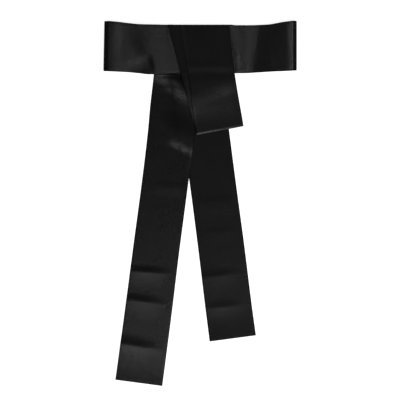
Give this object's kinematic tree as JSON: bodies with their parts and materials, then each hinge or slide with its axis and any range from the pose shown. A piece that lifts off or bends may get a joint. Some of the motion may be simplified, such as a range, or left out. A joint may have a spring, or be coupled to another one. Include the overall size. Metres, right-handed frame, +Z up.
{
  "type": "satin sash",
  "caption": "Black satin sash tied in a half bow and laid flat: a wide folded waist band, a short drop loop over the knot and long straight tails with square ends.",
  "frame": {"origin": "on the table, under the middle of the sash's box", "axes": "+Z up from the table, +Y from the tails to the waist, +X to the right seen from above"},
  "size_m": [0.333, 0.6308, 0.0111],
  "materials": {
    "satin": "black satin with a soft directional sheen"
  },
  "bodies": {
    "root": {"waist_back": "satin", "waist_left": "satin", "waist_right": "satin", "knot_crossing": "satin", "tail_right": "satin", "tail_left": "satin", "loop_rear": "satin", "loop_front": "satin"}
  },
  "joints": []
}
